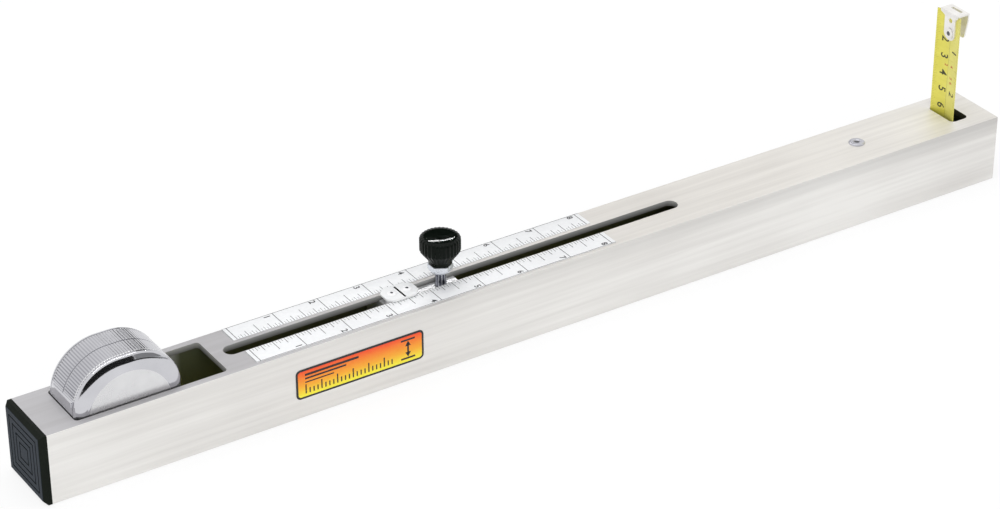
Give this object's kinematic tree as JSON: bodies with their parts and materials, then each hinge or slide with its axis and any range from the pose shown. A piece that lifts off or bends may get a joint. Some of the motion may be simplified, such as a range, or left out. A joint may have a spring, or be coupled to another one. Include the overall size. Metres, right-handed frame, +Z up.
{
  "type": "chassis height gauge",
  "caption": "Height gauge in a square tube: a pocket tape's blade is drawn by a clamped sliding carriage with a cursor, and rises through the top to a hook.",
  "frame": {"origin": "centre of the square tube's resting face", "axes": "+X along the tube towards the hook's end, +Y to the back, away from the labelled side, +Z up from the resting face"},
  "size_m": [0.574, 0.0383, 0.1],
  "materials": {
    "tube": "satin, brushed lengthwise",
    "black_plastic": "matte",
    "scale": "printed film",
    "label": "printed film",
    "chrome": "bright chrome",
    "steel": "zinc plated",
    "nylon": "natural nylon",
    "blade": "yellow lacquer on spring steel",
    "hook": "nickel plated",
    "rivet": "plain",
    "carriage": "milled",
    "clear": "clear acrylic",
    "knob": "moulded, fluted",
    "stud": "zinc plated thread"
  },
  "bodies": {
    "tube_body": {"square_tube": "tube", "end_cap": "black_plastic", "scale_far": "scale", "scale_near": "scale", "side_label": "label", "case_shell_near": "chrome", "case_shell_far": "chrome", "case_screws": "steel", "case_spacer": "black_plastic", "mount_screws": "steel", "spool_axle": "steel", "blade_run": "blade", "tape_guide": "black_plastic", "guide_cheek": "black_plastic", "guide_screws": "steel", "guide_rivet": "rivet"},
    "carriage": {"carriage_block": "carriage", "blade_clamp": "steel", "clamp_screws": "steel", "cursor_spacers": "steel", "cursor_plate": "clear", "cursor_screws": "steel"},
    "foot": {"stud_foot": "nylon"},
    "thumb_screw": {"knob": "knob", "knob_stud": "stud", "knob_nut": "stud"},
    "spool_body": {"spool": "nylon", "return_spring": "steel", "blade_coil": "blade"},
    "tip": {"tip_hook": "hook", "hook_rivet": "steel", "blade_riser": "blade"}
  },
  "joints": [
    {"name": "carriage_slide", "type": "slide", "parent": "tube_body", "child": "carriage", "axis": [1, 0, 0], "range_m": [-0.046, 0.13]},
    {"name": "screw_rise", "type": "slide", "parent": "carriage", "child": "foot", "axis": [0, 0, 1], "range_m": [0, 0.00381]},
    {"name": "knob_turn", "type": "hinge", "parent": "foot", "child": "thumb_screw", "pos_m": [-0.06038, 0, 0.04], "axis": [0, 0, 1], "range_deg": [0, 1100]},
    {"name": "spool_turn", "type": "hinge", "parent": "tube_body", "child": "spool_body", "pos_m": [-0.2398, 0, 0.03305], "axis": [0, 1, 0], "range_deg": [-359, 127]},
    {"name": "blade_lift", "type": "slide", "parent": "tube_body", "child": "tip", "axis": [0, 0, 1], "range_m": [-0.046, 0.13], "deforming": ["blade_riser"]}
  ],
  "couplings": [
    {"joint": "knob_turn", "follows": "screw_rise", "rad_per_m": 4947.4},
    {"joint": "spool_turn", "follows": "carriage_slide", "rad_per_m": -48.077},
    {"joint": "blade_lift", "follows": "carriage_slide", "ratio": 1}
  ]
}
